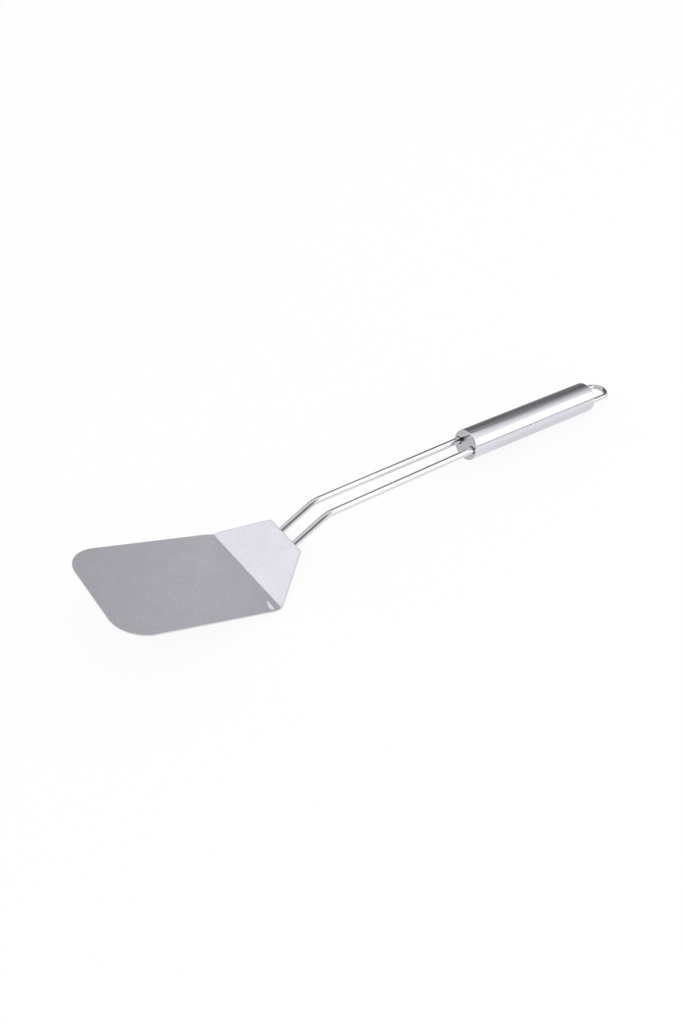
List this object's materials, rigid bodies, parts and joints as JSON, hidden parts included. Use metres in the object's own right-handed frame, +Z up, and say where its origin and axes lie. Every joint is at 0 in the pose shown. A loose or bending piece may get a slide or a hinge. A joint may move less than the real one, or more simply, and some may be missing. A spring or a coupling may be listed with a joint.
{
  "type": "kitchen turner",
  "caption": "Flat steel blade with rounded front corners and a raised neck, on slim bent rods with a round tube handle and a wire hanging loop, for lifting and turning food in a pan.",
  "frame": {"origin": "on the table that the turner lies on, under the middle of its bounding box", "axes": "+X along the tool from the blade towards the hanging loop, +Y across the blade, +Z up from the table"},
  "size_m": [0.3592, 0.071, 0.0336],
  "materials": {
    "satin_sheet": "fine satin stainless steel sheet",
    "polished_wire": "polished stainless steel wire",
    "polished_cap": "polished stainless steel cap",
    "brushed_tube": "finely brushed stainless steel tube"
  },
  "bodies": {
    "root": {"blade": "satin_sheet", "left_rod": "polished_wire", "right_rod": "polished_wire", "front_cap": "polished_cap", "handle_tube": "brushed_tube", "rear_cap": "polished_cap", "hanging_loop": "polished_wire"}
  },
  "joints": []
}
